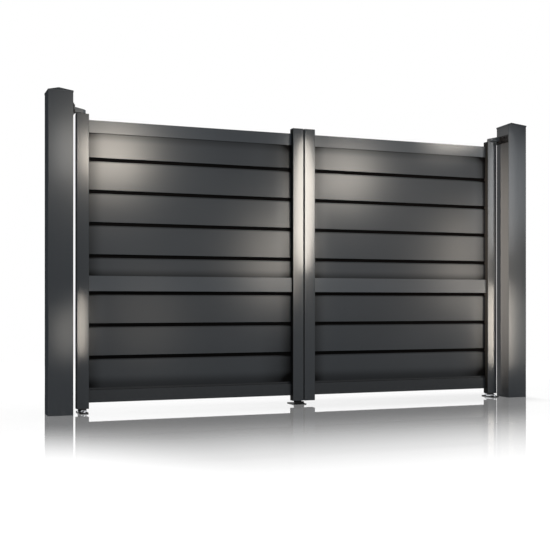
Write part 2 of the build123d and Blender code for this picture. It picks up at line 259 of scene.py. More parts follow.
class GateFixings(bpy.types.PropertyGroup):
    """Sizes of bolts, nuts, washers and welds."""

    bracket_bolt_width: FloatProperty(
        name="Bracket bolt width",
        description="Width across the flats of the bracket bolts",
        unit="LENGTH",
        default=0.013,
    )
    bracket_bolt_height: FloatProperty(
        name="Bracket bolt height",
        description="Height of the bracket bolts' heads",
        unit="LENGTH",
        default=0.0053,
    )
    bracket_washer: FloatProperty(
        name="Bracket washer",
        description="Diameter of the washers under the bracket bolts",
        unit="LENGTH",
        default=0.016,
    )
    anchor_diameter: FloatProperty(
        name="Anchor diameter",
        description="Thread diameter of the ground anchors",
        unit="LENGTH",
        default=0.010,
    )
    anchor_nut_width: FloatProperty(
        name="Anchor nut width",
        description="Width across the flats of the anchor nuts",
        unit="LENGTH",
        default=0.016,
    )
    anchor_nut_height: FloatProperty(
        name="Anchor nut height",
        description="Height of the anchor nuts",
        unit="LENGTH",
        default=0.008,
    )
    anchor_washer: FloatProperty(
        name="Anchor washer",
        description="Diameter of the washers under the anchor nuts",
        unit="LENGTH",
        default=0.020,
    )
    anchor_pitch: FloatProperty(
        name="Anchor pitch",
        description="Distance between two turns of the anchor thread",
        unit="LENGTH",
        default=0.0015,
    )
    button_diameter: FloatProperty(
        name="Button head diameter",
        description="Diameter of the low screw heads on the centre stop",
        unit="LENGTH",
        default=0.0175,
    )
    button_height: FloatProperty(
        name="Button head height",
        description="Height of the low screw heads on the centre stop",
        unit="LENGTH",
        default=0.0030,
    )
    weld_radius: FloatProperty(
        name="Weld radius",
        description="Radius of the weld beads",
        unit="LENGTH",
        default=0.0024,
    )
    weld_ripple: FloatProperty(
        name="Weld ripple",
        description="Distance between two ripples of a weld bead",
        unit="LENGTH",
        default=0.0022,
    )
    edge_width: FloatProperty(
        name="Edge width",
        description="Width of the broken edges on caps, floor pivots, stop and stop foot",
        unit="LENGTH",
        default=0.0007,
    )


class GateStudio(bpy.types.PropertyGroup):
    """Camera, floor and light of the studio."""

    camera_place: FloatVectorProperty(
        name="Camera place",
        description="Where the camera stands",
        subtype="TRANSLATION",
        unit="LENGTH",
        default=(-0.9154, -6.0240, 0.67456),
    )
    camera_heading: FloatProperty(
        name="Camera heading",
        description="Turn of the level camera towards the right",
        subtype="ANGLE",
        unit="ROTATION",
        default=math.radians(21.09),
    )
    focal_length: FloatProperty(
        name="Focal length",
        description="Focal length on a sensor 36 mm wide, in millimetres",
        default=64.066,
    )
    camera_shift: FloatProperty(
        name="Camera shift",
        description="Upward shift of the picture, as a share of its width",
        default=0.05196,
    )
    fill: FloatProperty(
        name="Fill",
        description="Strength of the soft light from all round",
        min=0.0,
        default=0.70,
    )
    lamp_colour: FloatVectorProperty(
        name="Lamp colour",
        description="Colour of the soft lamps",
        subtype="COLOR",
        min=0.0,
        max=1.0,
        default=(1.0, 0.91, 0.79),
    )
    daylight_colour: FloatVectorProperty(
        name="Daylight colour",
        description="Colour that the cooler lamps lean to",
        subtype="COLOR",
        min=0.0,
        max=1.0,
        default=(0.88, 0.94, 1.0),
    )
    floor_radius: FloatProperty(
        name="Floor radius",
        description="Radius of the floor round the middle of the gate",
        unit="LENGTH",
        default=30.0,
    )
    floor_mirror: FloatProperty(
        name="Floor mirror",
        description="Share of the mirror image in the floor next to the gate",
        subtype="FACTOR",
        min=0.0,
        max=1.0,
        default=0.84,
    )
    mirror_reach: FloatProperty(
        name="Mirror reach",
        description="Distance from the gate at which the mirror image has about half faded",
        unit="LENGTH",
        default=1.62,
    )
    floor_glow: FloatProperty(
        name="Floor glow",
        description="White that the floor shows on top of the light on it",
        min=0.0,
        default=0.78,
    )
    floor_sides: IntProperty(
        name="Floor sides",
        description="Number of sides of the round floor",
        default=96,
    )


class Socket:
    """Output of a shader node that takes part in Python arithmetic."""

    def __init__(self, shader, link):
        self.shader = shader
        self.link = link

    def output(self, name):
        """Another output of the same node."""
        return Socket(self.shader, self.link.node.outputs[name])

    def math(self, operation, first, second):
        """Result of a Math node on two values."""
        return self.shader.node(
            "ShaderNodeMath", {"operation": operation}, {0: first, 1: second}
        )

    def __add__(self, other):
        return self.math("ADD", self, other)

    def __radd__(self, other):
        return self.math("ADD", other, self)

    def __sub__(self, other):
        return self.math("SUBTRACT", self, other)

    def __rsub__(self, other):
        return self.math("SUBTRACT", other, self)

    def __mul__(self, other):
        return self.math("MULTIPLY", self, other)

    def __rmul__(self, other):
        return self.math("MULTIPLY", other, self)

    def __truediv__(self, other):
        return self.math("DIVIDE", self, other)

    def __mod__(self, other):
        return self.math("FLOORED_MODULO", self, other)

    def __pow__(self, other):
        return self.math("POWER", self, other)

    def __abs__(self):
        return self.math("ABSOLUTE", self, 0.0)

    def __lt__(self, other):
        return self.math("LESS_THAN", self, other)

    def __gt__(self, other):
        return self.math("GREATER_THAN", self, other)


class Shader:
    """Node tree of a material or the world, filled from Python."""

    def __init__(self, owner):
        owner.use_nodes = True
        self.tree = owner.node_tree
        self.tree.nodes.clear()

    def node(self, kind, settings=None, sockets=None, output=0):
        """A new node: its settings are set first, then the values or links of its sockets."""
        node = self.tree.nodes.new(kind)
        for name, value in (settings or {}).items():
            setattr(node, name, value)
        for name, value in (sockets or {}).items():
            if isinstance(value, Socket):
                self.tree.links.new(value.link, node.inputs[name])
            else:
                node.inputs[name].default_value = value
        return Socket(self, node.outputs[output]) if len(node.outputs) else None

    def place(self):
        """Place on the object, in metres."""
        return self.node("ShaderNodeTexCoord", output="Object")

    def parts(self, vector):
        """The three numbers of a vector."""
        first = self.node("ShaderNodeSeparateXYZ", sockets={0: vector})
        return first, first.output(1), first.output(2)

    def stretched(self, vector, factors):
        """A vector with each of its numbers multiplied by its own factor."""
        return self.node(
            "ShaderNodeVectorMath", {"operation": "MULTIPLY"}, {0: vector, 1: factors}
        )

    def noise(self, vector, scale, detail, roughness=0.5):
        """Soft noise between 0 and 1."""
        sockets = {"Vector": vector, "Scale": scale, "Detail": detail, "Roughness": roughness}
        return self.node("ShaderNodeTexNoise", None, sockets)

    def ramp(self, value, low, high):
        """Smooth step from 0 at low to 1 at high."""
        sockets = {"Value": value, "From Min": low, "From Max": high}
        return self.node("ShaderNodeMapRange", {"interpolation_type": "SMOOTHSTEP"}, sockets)

    def shade(self, distance, reach, strength):
        """Shade that has its full strength at distance 0 and has faded at its reach."""
        return (1.0 - self.ramp(distance, 0.0, reach)) * strength

    def mix(self, factor, first, second):
        """Mix of two colours."""
        sockets = {0: factor, 6: first, 7: second}
        return self.node("ShaderNodeMix", {"data_type": "RGBA"}, sockets, output=2)

    def bump(self, height):
        """Normal of a surface whose height is given in metres."""
        sockets = {"Strength": 1.0, "Distance": 1.0, "Height": height}
        return self.node("ShaderNodeBump", None, sockets)

    def upward(self):
        """1 where the surface faces up, 0 where it faces sideways or down."""
        normal = self.node("ShaderNodeNewGeometry", output="Normal")
        return self.ramp(self.parts(normal)[2], low=0.7, high=0.97)

    def surface(self, sockets):
        """Principled surface."""
        return self.node("ShaderNodeBsdfPrincipled", None, sockets)

    def blend(self, factor, first, second):
        """Mix of two surfaces."""
        return self.node("ShaderNodeMixShader", None, {0: factor, 1: first, 2: second})

    def finish(self, surface):
        """Give the material its surface."""
        self.node("ShaderNodeOutputMaterial", None, {"Surface": surface})


def tint(colour, factor=1.0):
    """Colour with alpha, made lighter or darker by a factor."""
    return tuple(min(1.0, part * factor) for part in colour) + (1.0,)


def grey(level):
    """Grey of a level between 0, black, and 1, white."""
    return (level, level, level, 1.0)


def vary(noise, by):
    """Noise as a change of up to half an amount, up or down."""
    return (noise - 0.5) * by


def stile_distances(across):
    """How far a place on a leaf lies from the leaf's left stile and from its right stile."""
    left_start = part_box("left_hinge_stile")[1].x
    left_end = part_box("left_meeting_stile")[0].x
    right_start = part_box("right_meeting_stile")[1].x
    start = left_start + (across > (left_end + right_start) / 2) * (right_start - left_start)
    return across - start, start + (left_end - left_start) - across


def stile_reach(across):
    """How far a place on a leaf lies from the nearer stile, less than 0 inside the stile."""
    from_left, from_right = stile_distances(across)
    return from_left.math("MINIMUM", from_left, from_right)


def stile_shade(shader, across, depth, height):
    """Painted shade in the corners between stiles and slats: black on the stiles' sides next to
    the slats.
    """
    inside_stile = -0.0012
    strength = 0.88
    return (stile_reach(across) > inside_stile) * strength


def slat_shade(shader, across, depth, height):
    """Painted shade: black shadow gaps, and soft shade on the slats next to stiles, rails and
    gaps.
    """
    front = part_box("left_slat_2")[0].y
    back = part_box("left_slat_2")[1].y
    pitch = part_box("left_slat_1")[0].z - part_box("left_slat_2")[0].z
    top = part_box("left_top_rail")[0].z
    low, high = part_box("left_middle_rail")
    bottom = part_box("left_bottom_rail")[1].z
    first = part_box("left_slat_1")[0].z - SHADOW_GAP
    second = low.z - SHADOW_GAP
    drop = (first - height + (height < high.z) * (second - first)) % pitch

    gap_lip = 0.0015
    gap_black = 0.0045
    back_skin = 0.0030
    rail_lip = 0.001
    high_corner_height = 1.70
    low_corner_height = 0.25
    black = shader.ramp(depth, front + gap_lip, front + gap_black) * (depth < back - back_skin)
    ends = shader.shade(stile_reach(across), reach=0.10, strength=0.42)
    under_top = shader.shade(top - height, reach=0.06, strength=0.40)
    lip = shader.shade(top - rail_lip - height, reach=0.005, strength=0.35)
    above_middle = (height > high.z) * shader.shade(height - high.z, reach=0.055, strength=0.48)
    above_bottom = shader.shade(height - bottom, reach=0.075, strength=0.52)
    below_gap = shader.shade(drop, reach=0.013, strength=0.50)
    near_right = 1.0 - shader.ramp(stile_distances(across)[1], low=0.0, high=0.25)
    high_corner = shader.shade(high_corner_height - height, reach=0.40, strength=0.42)
    low_corner = shader.shade(height - low_corner_height, reach=0.45, strength=0.38)
    corners = ends + near_right * high_corner + near_right * low_corner
    return black + corners + under_top + lip + above_middle + above_bottom + below_gap


def powder_coat(name, finishes, stretch, roughness, tone=1.0, shading=None):
    """Satin anthracite coat with orange peel, drawn lines below it, flecks and dust.

    The drawn lines follow the length of the profile; tone makes the coat lighter or darker
    as painted light or shade, and shading blends in a black surface as painted shade in gaps
    and corners. The gloss fades at a grazing view, as it does on a fine textured coat.
    """
    material = bpy.data.materials.new(name)
    shader = Shader(material)
    place = shader.place()
    across, depth, height = shader.parts(place)
    cloud = shader.noise(place, scale=2.6, detail=3.0)
    drawn = shader.noise(shader.stretched(place, stretch), scale=1.0, detail=3.0, roughness=0.6)
    peel = shader.noise(place, scale=320.0, detail=1.0)
    specks = shader.noise(place, scale=1500.0, detail=1.0)
    patch = shader.noise(place, scale=38.0, detail=4.0, roughness=0.65)

    base = finishes.coat_colour
    fleck_share = 0.20
    fleck = shader.ramp(specks, low=0.58, high=0.74) * fleck_share
    colour = shader.mix(cloud, tint(base, 0.92 * tone), tint(base, 1.08 * tone))
    colour = shader.mix(fleck, colour, tint(base, 2.0 * tone))
    ledge_dust = 0.22
    ledge = shader.upward() * shader.ramp(patch, low=0.35, high=0.75) * ledge_dust
    near_ground = 1.0 - shader.ramp(height, low=0.0, high=0.16)
    splash_dust = 0.07
    splash = near_ground * shader.ramp(patch, low=0.45, high=0.8) * splash_dust
    dust = ledge + splash
    colour = shader.mix(dust, colour, tint(finishes.dust_colour))

    dust_dullness = 0.5
    peel_height = 0.000006
    line_height = 0.000001
    wave_height = 0.00040
    gloss = roughness + vary(cloud, by=0.03) + vary(drawn, by=0.010) + dust * dust_dullness
    normal = shader.bump(peel * peel_height + drawn * line_height + cloud * wave_height)
    satin = {"Roughness": gloss, "Specular IOR Level": 0.25}
    dull = {"Roughness": 0.9, "Specular IOR Level": 0.02}
    coat = shader.surface({"Base Color": colour, "Normal": normal, **satin})
    matt = shader.surface({"Base Color": colour, "Normal": normal, **dull})
    facing = shader.node("ShaderNodeLayerWeight", None, {"Blend": 0.5}, output="Facing")
    coat = shader.blend(shader.ramp(facing, low=0.5, high=0.85), coat, matt)
    # Painted shade: a black matt surface is blended over the coat where shading asks for it.
    if shading:
        black = shader.surface({"Base Color": grey(0.0035), **dull})
        coat = shader.blend(shading(shader, across, depth, height), coat, black)
    shader.finish(coat)
    return material


def black_steel(name, finishes):
    """Black coated steel with a fine grain, scuffs and a little dust."""
    material = bpy.data.materials.new(name)
    shader = Shader(material)
    place = shader.place()
    grain = shader.noise(place, scale=900.0, detail=2.0)
    cloud = shader.noise(place, scale=14.0, detail=3.0)
    scratch_lines = shader.stretched(place, (60.0, 900.0, 420.0))
    scratch = shader.noise(scratch_lines, scale=1.0, detail=2.0)
    worn = shader.ramp(cloud, low=0.5, high=0.7)
    scuff = shader.ramp(scratch, low=0.66, high=0.74) * worn
    dust_share = 0.16
    dust = shader.upward() * shader.ramp(cloud, low=0.4, high=0.8) * dust_share

    base = finishes.black_colour
    scuff_share = 0.4
    colour = shader.mix(cloud, tint(base, 0.8), tint(base, 1.3))
    colour = shader.mix(scuff * scuff_share, colour, tint(base, 9.0))
    colour = shader.mix(dust, colour, tint(finishes.dust_colour, 0.5))
    roughness = 0.50
    scuff_gloss = 0.1
    grain_height = 0.000018
    scuff_depth = 0.000008
    steel = shader.surface(
        {
            "Base Color": colour,
            "Roughness": roughness + vary(cloud, by=0.12) - scuff * scuff_gloss + dust,
            "Specular IOR Level": 0.12,
            "Normal": shader.bump(grain * grain_height - scuff * scuff_depth),
        }
    )
    shader.finish(steel)
    return material


def moulded_black(name, colour, roughness, grain_scale):
    """Moulded plastic or rubber with a spark-eroded grain and flow marks."""
    material = bpy.data.materials.new(name)
    shader = Shader(material)
    place = shader.place()
    grain = shader.noise(place, scale=grain_scale, detail=3.0, roughness=0.7)
    flow_lines = shader.stretched(place, (25.0, 25.0, 160.0))
    flow = shader.noise(flow_lines, scale=1.0, detail=2.0)
    dust_share = 0.1
    dust = shader.upward() * shader.ramp(flow, low=0.4, high=0.8) * dust_share
    dull_dust = (0.16, 0.155, 0.145, 1.0)
    tone = shader.mix(flow, tint(colour, 0.8), tint(colour, 1.25))
    grain_height = 0.000030
    flow_height = 0.00002
    body = shader.surface(
        {
            "Base Color": shader.mix(dust, tone, dull_dust),
            "Roughness": roughness + vary(grain, by=0.1) + vary(flow, by=0.08),
            "Specular IOR Level": 0.4,
            "Normal": shader.bump(grain * grain_height + flow * flow_height),
        }
    )
    shader.finish(body)
    return material


def bright_zinc(name, finishes, axes=()):
    """Bright plated steel; with axes given, turned grooves run round the nearest one."""
    material = bpy.data.materials.new(name)
    shader = Shader(material)
    place = shader.place()
    across, depth = shader.parts(place)[:2]
    bloom = shader.noise(place, scale=170.0, detail=3.0)
    fine = shader.noise(place, scale=1400.0, detail=1.0)
    bloom_height = 0.000006
    fine_height = 0.000003
    groove_height = 0.000012
    relief = bloom * bloom_height + fine * fine_height
    if axes:
        (left_x, centre_y), (right_x, _) = axes
        centre = left_x + (across > (left_x + right_x) / 2) * (right_x - left_x)
        radius = ((across - centre) ** 2.0 + (depth - centre_y) ** 2.0) ** 0.5
        outward = shader.node("ShaderNodeCombineXYZ", None, {0: radius})
        relief = relief + shader.noise(outward, scale=2600.0, detail=1.0) * groove_height
    red, green, blue = finishes.zinc_colour
    blue_cast = 1.05
    roughness = 0.24
    zinc = shader.surface(
        {
            "Base Color": shader.mix(
                bloom, tint((red, green, blue), 0.86), tint((red, green, blue * blue_cast), 1.08)
            ),
            "Metallic": 1.0,
            "Roughness": roughness + vary(bloom, by=0.16),
            "Normal": shader.bump(relief),
        }
    )
    shader.finish(zinc)
    return material


def rolled_plate(name, finishes):
    """Mill finish plate with rolling lines and dull oxide patches."""
    material = bpy.data.materials.new(name)
    shader = Shader(material)
    place = shader.place()
    roll_lines = shader.stretched(place, (6.0, 900.0, 900.0))
    rolled = shader.noise(roll_lines, scale=1.0, detail=2.0)
    patch = shader.noise(place, scale=24.0, detail=4.0, roughness=0.65)
    oxide = shader.ramp(patch, low=0.45, high=0.75)
    base = finishes.plate_colour
    roughness = 0.30
    line_dullness = 0.1
    oxide_dullness = 0.2
    line_height = 0.000010
    plate = shader.surface(
        {
            "Base Color": shader.mix(oxide, tint(base), tint(base, 0.72)),
            "Metallic": 1.0,
            "Roughness": roughness + rolled * line_dullness + oxide * oxide_dullness,
            "Normal": shader.bump(rolled * line_height),
        }
    )
    shader.finish(plate)
    return material


def dress(names, material):
    """Give parts of the frame a material."""
    for name in names:
        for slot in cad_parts[name].material_slots:
            slot.material = material


def break_edges(names, width):
    """Break the sharp edges of parts of the frame, so that they catch the light."""
    for name in names:
        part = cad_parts[name]
        weld = part.modifiers.new("weld", "WELD")
        weld.merge_threshold = 0.00001
        bevel = part.modifiers.new("edges", "BEVEL")
        bevel.width = width
        bevel.segments = 2
        bevel.limit_method = "ANGLE"
        bevel.angle_limit = math.radians(20.0)
        bevel.use_clamp_overlap = True


def named_material(name):
    """A material that an earlier operator has made."""
    material = bpy.data.materials.get(name)
    if material is None:
        raise RuntimeError("run the operator that makes " + name + " first")
    return material


def ring(bm, matrix, points):
    """Vertices of one closed ring."""
    return [bm.verts.new(matrix @ Vector(point)) for point in points]


def skin(bm, rings, start=True, end=True):
    """Faces between rings of equal length, with flat ends where they are wanted."""
    for lower, upper in zip(rings, rings[1:]):
        count = len(lower)
        for index in range(count):
            after = (index + 1) % count
            bm.faces.new((lower[index], lower[after], upper[after], upper[index]))
    if start:
        bm.faces.new(reversed(rings[0]))
    if end:
        bm.faces.new(rings[-1])


def circle_points(radius, height, count=ROUND_STEPS):
    """Points of a level circle."""
    turn = 2 * math.pi / count
    return [
        (radius * math.cos(step * turn), radius * math.sin(step * turn), height)
        for step in range(count)
    ]


def hexagon_radius(angle, width):
    """Distance from the centre of a hexagon to its edge at an angle."""
    sixth = math.pi / 3
    return width / 2 / math.cos((angle % sixth) - sixth / 2)


def hexagon_points(width, height, chamfer=0.0):
    """Points of a hexagon; with a chamfer, they drop where the hexagon reaches outward."""
    turn = 2 * math.pi / ROUND_STEPS
    points = []
    for step in range(ROUND_STEPS):
        angle = step * turn
        radius = hexagon_radius(angle, width)
        drop = (radius - width / 2 * CHAMFER_START) * chamfer
        points.append((radius * math.cos(angle), radius * math.sin(angle), height - drop))
    return points


def add_washer(bm, matrix, diameter, thickness):
    """Flat washer with softly stamped edges."""
    radius = diameter / 2
    soft = thickness * 0.25
    profile = (
        (radius - soft, 0.0),
        (radius, soft),
        (radius, thickness - soft),
        (radius - soft, thickness),
    )
    skin(bm, [ring(bm, matrix, circle_points(reach, z)) for reach, z in profile])


def add_hexagon(bm, matrix, width, base, height):
    """Hexagonal head or nut with its corners turned off at the top."""
    top = base + height
    rings = [
        ring(bm, matrix, hexagon_points(width, base)),
        ring(bm, matrix, hexagon_points(width, top, CHAMFER_SLOPE)),
        ring(bm, matrix, circle_points(width / 2 * CHAMFER_START, top)),
    ]
    skin(bm, rings)


def add_thread(bm, matrix, diameter, base, length, pitch):
    """Threaded end of a stud with a chamfered tip."""
    outer = diameter / 2
    depth = pitch * 0.6
    levels_per_turn = 8
    levels = int(length / pitch * levels_per_turn)
    rings = []
    for level in range(levels + 1):
        z = length * level / levels
        taper = max(0.0, z - (length - pitch)) / pitch * depth
        points = []
        for step in range(THREAD_STEPS):
            angle = 2 * math.pi * step / THREAD_STEPS
            phase = (z / pitch - step / THREAD_STEPS) % 1.0
            radius = outer - depth * abs(2 * phase - 1) - taper
            points.append((radius * math.cos(angle), radius * math.sin(angle), base + z))
        rings.append(ring(bm, matrix, points))
    skin(bm, rings)


def add_button(bm, matrix, diameter, height):
    """Low round screw head with a hexagonal socket."""
    radius = diameter / 2
    key = diameter * 0.32
    dome = ((0.98, 0.0), (1.0, 0.18), (0.95, 0.45), (0.82, 0.76), (0.62, 0.95), (0.48, 1.0))
    socket = ((1.0, 0.98), (0.98, 0.35))
    rings = [ring(bm, matrix, circle_points(radius * out, height * up)) for out, up in dome]
    rings += [ring(bm, matrix, hexagon_points(key * out, height * up)) for out, up in socket]
    skin(bm, rings)


def bead_places(points, step_length, closed):
    """Places at even steps along a line of points."""
    places = []
    count = len(points) if closed else len(points) - 1
    for index in range(count):
        first = Vector(points[index])
        second = Vector(points[(index + 1) % len(points)])
        steps = max(2, int((second - first).length / step_length))
        for step in range(steps):
            places.append(first.lerp(second, step / steps))
    if not closed:
        places.append(Vector(points[-1]))
    return places


def add_bead(bm, points, radius, ripple, closed=False):
    """Rippled weld bead along a line of points, with small ends where it is open."""
    places = bead_places(points, ripple / 4, closed)
    total = len(places)
    askew = Vector((0.31, 0.17, 0.94))
    ripple_swell = 0.12
    end_size = 0.35
    end_steps = 5
    rings = []
    travelled = 0.0
    for index, place in enumerate(places):
        before = places[index - 1] if index or closed else place
        after = places[(index + 1) % total] if index + 1 < total or closed else place
        along = (after - before).normalized()
        side = along.cross(askew).normalized()
        upright = side.cross(along).normalized()
        travelled += (place - before).length
        swell = 1.0 + ripple_swell * math.cos(2 * math.pi * travelled / ripple)
        if not closed:
            swell *= min(1.0, end_size + min(index, total - 1 - index) / end_steps)
        reach = radius * swell
        verts = []
        for step in range(BEAD_STEPS):
            angle = 2 * math.pi * step / BEAD_STEPS
            point = place + side * reach * math.cos(angle) + upright * reach * math.sin(angle)
            verts.append(bm.verts.new(point))
        rings.append(verts)
    skin(bm, rings, start=not closed, end=not closed)
    if closed:
        skin(bm, [rings[-1], rings[0]], start=False, end=False)


def make_piece(name, bm, material, body):
    """Turn a finished mesh into a named piece that rides on a body."""
    bmesh.ops.recalc_face_normals(bm, faces=bm.faces)
    mesh = bpy.data.meshes.new(name)
    bm.to_mesh(mesh)
    bm.free()
    for polygon in mesh.polygons:
        polygon.use_smooth = True
    mesh.set_sharp_from_angle(angle=math.radians(32.0))
    piece = bpy.data.objects.new(name, mesh)
    bpy.context.scene.collection.objects.link(piece)
    mesh.materials.append(material)
    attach(piece, body)


def bracket_face(side, direction):
    """Place along X of the bracket plate's face that looks away from its post."""
    low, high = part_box(side + "_post")
    return (high.x if direction > 0 else low.x) + direction * BRACKET_PLATE


class GATE_OT_coats(bpy.types.Operator):
    """Give posts, caps, arms, stiles, rails and slats their powder coat"""

    bl_idname = "gate.coats"
    bl_label = "Powder coats"

    def execute(self, context):
        finishes = context.scene.gate_finishes
        rails = finishes.rail_roughness
        posts = finishes.post_roughness
        # Tones above 1 are painted light on the top rails, middle rails and arms; the bottom
        # rails' tone below 1 is painted shade.
        coats = (
            (POSTS, "coat_posts", LINES_UPRIGHT, posts, 1.0, None),
            (STILES, "coat_stiles", LINES_UPRIGHT, finishes.stile_roughness, 1.0, stile_shade),
            (TOP_RAILS, "coat_rails", LINES_LEVEL, rails, 1.45, None),
            (MIDDLE_RAILS, "coat_middle_rails", LINES_LEVEL, rails, 1.65, None),
            (BOTTOM_RAILS, "coat_bottom_rails", LINES_LEVEL, rails, 0.65, None),
            (SLATS, "coat_slats", LINES_LEVEL, finishes.slat_roughness, 1.0, slat_shade),
            (PLUGS, "coat_plain", LINES_NONE, posts, 1.0, None),
            (ARMS, "coat_arms", LINES_NONE, posts, 1.8, None),
            (CAPS, "coat_caps", LINES_NONE, finishes.cap_roughness, 1.0, None),
        )
        for names, coat, stretch, roughness, tone, shading in coats:
            dress(names, powder_coat(coat, finishes, stretch, roughness, tone, shading))
        return {"FINISHED"}


class GATE_OT_hardware(bpy.types.Operator):
    """Give brackets, floor pivots, centre stop, bushes, foot, collars and plates their finish"""

    bl_idname = "gate.hardware"
    bl_label = "Hardware finishes"

    def execute(self, context):
        finishes = context.scene.gate_finishes
        axes = []
        for pivot in PIVOTS:
            low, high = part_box(pivot)
            axes.append(((low.x + high.x) / 2, (low.y + high.y) / 2))
        dress(BRACKETS + PIVOTS + ("centre_stop",), black_steel("black_steel_coat", finishes))
        dress(BUSHES, moulded_black("moulded_plastic", *PLASTIC))
        dress(("left_stop_foot",), moulded_black("rubber", *RUBBER))
        dress(("pivot_collars",), bright_zinc("turned_zinc", finishes, axes))
        dress(FOOT_PLATES, rolled_plate("rolled_plate", finishes))
        bright_zinc("fixing_zinc", finishes)
        return {"FINISHED"}


class GATE_OT_edges(bpy.types.Operator):
    """Break the sharp edges of caps, pivots, centre stop and stop foot"""

    bl_idname = "gate.edges"
    bl_label = "Broken edges"

    def execute(self, context):
        width = context.scene.gate_fixings.edge_width
        break_edges(CAPS + PIVOTS + ("centre_stop", "left_stop_foot"), width)
        return {"FINISHED"}


class GATE_OT_bracket_bolts(bpy.types.Operator):
    """Add the hexagon bolts and washers of the top hinge brackets"""

    bl_idname = "gate.bracket_bolts"
    bl_label = "Bracket bolts"

    def execute(self, context):
        fixings = context.scene.gate_fixings
        material = named_material("black_steel_coat")
        washer = BRACKET_WASHER_THICKNESS
        width = fixings.bracket_bolt_width
        for side, direction in SIDES.items():
            low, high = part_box(side + "_hinge_bracket")
            face = bracket_face(side, direction)
            turn = Matrix.Rotation(direction * math.pi / 2, 4, "Y")
            places = [
                (face, low.y + BRACKET_BOLT_LEAD + along, high.z - BRACKET_HEIGHT / 2 + up)
                for along in (0.0, BRACKET_BOLT_SPACING)
                for up in (-BRACKET_BOLT_RISE / 2, BRACKET_BOLT_RISE / 2)
            ]
            bm = bmesh.new()
            for number, place in enumerate(places):
                twist = Matrix.Rotation(BRACKET_BOLT_TWIST * number, 4, "Z")
                matrix = Matrix.Translation(place) @ turn @ twist
                add_washer(bm, matrix, fixings.bracket_washer, washer)
                add_hexagon(bm, matrix, width, washer, fixings.bracket_bolt_height)
            make_piece(side + "_bracket_bolts", bm, material, "posts")
        return {"FINISHED"}


class GATE_OT_anchors(bpy.types.Operator):
    """Add the ground anchors of the floor pivots: washer, nut and threaded stud"""

    bl_idname = "gate.anchors"
    bl_label = "Ground anchors"

    def execute(self, context):
        fixings = context.scene.gate_fixings
        material = named_material("fixing_zinc")
        washer = ANCHOR_WASHER_THICKNESS
        width, nut = fixings.anchor_nut_width, fixings.anchor_nut_height
        diameter, pitch = fixings.anchor_diameter, fixings.anchor_pitch
        for side in SIDES:
            low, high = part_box(side + "_floor_pivot")
            x = (low.x + high.x) / 2
            ends = (low.y + PIVOT_BOLT_MARGIN, high.y - PIVOT_BOLT_MARGIN)
            bm = bmesh.new()
            for y, twist in zip(ends, ANCHOR_TWISTS):
                matrix = Matrix.Translation((x, y, PIVOT_PLATE)) @ Matrix.Rotation(twist, 4, "Z")
                add_washer(bm, matrix, fixings.anchor_washer, washer)
                add_hexagon(bm, matrix, width, washer, nut)
                add_thread(bm, matrix, diameter, washer + nut, ANCHOR_STUD_LENGTH, pitch)
            make_piece(side + "_pivot_anchors", bm, material, "posts")
        return {"FINISHED"}


class GATE_OT_stop_screws(bpy.types.Operator):
    """Add the low socket screws of the centre stop"""

    bl_idname = "gate.stop_screws"
    bl_label = "Centre stop screws"

    def execute(self, context):
        fixings = context.scene.gate_fixings
        low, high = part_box("centre_stop")
        x = (low.x + high.x) / 2
        holes = (low.y + STOP_BOLT_LEAD, high.y - STOP_BOLT_MARGIN)
        bm = bmesh.new()
        for y, twist in zip(holes, SCREW_TWISTS):
            matrix = Matrix.Translation((x, y, STOP_PLATE)) @ Matrix.Rotation(twist, 4, "Z")
            add_button(bm, matrix, fixings.button_diameter, fixings.button_height)
        make_piece("stop_screws", bm, named_material("fixing_zinc"), "posts")
        return {"FINISHED"}


class GATE_OT_welds(bpy.types.Operator):
    """Add the weld beads of the hinge arms and of the centre stop's block"""

    bl_idname = "gate.welds"
    bl_label = "Weld beads"

    def execute(self, context):
        fixings = context.scene.gate_fixings
        material = named_material("black_steel_coat")
        for side, direction in SIDES.items():
            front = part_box(side + "_hinge_arm")[0].y
            low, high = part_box(side + "_hinge_bracket")
            face = bracket_face(side, direction)
            tip = (high.x if direction > 0 else low.x) - direction * WELD_END_MARGIN
            shelf_top = high.z - ARM_ROOT_HEIGHT
            corner = (
                (face, front, high.z - WELD_TOP_MARGIN),
                (face, front, shelf_top),
                (tip, front, shelf_top),
            )
            bm = bmesh.new()
            add_bead(bm, corner, fixings.weld_radius, fixings.weld_ripple)
            make_piece(side + "_arm_weld", bm, material, "posts")

        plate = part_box("centre_stop")[0]
        left = plate.x + STOP_PLATE_MARGIN
        right = left + STOP_BLOCK_WIDTH
        front = plate.y + STOP_PLATE_MARGIN
        rear = front + STOP_BLOCK_DEPTH
        block = [
            (x, y, STOP_PLATE)
            for x, y in ((left, front), (right, front), (right, rear), (left, rear))
        ]
        bm = bmesh.new()
        add_bead(bm, block, fixings.weld_radius, fixings.weld_ripple, closed=True)
        make_piece("stop_weld", bm, material, "posts")
        return {"FINISHED"}


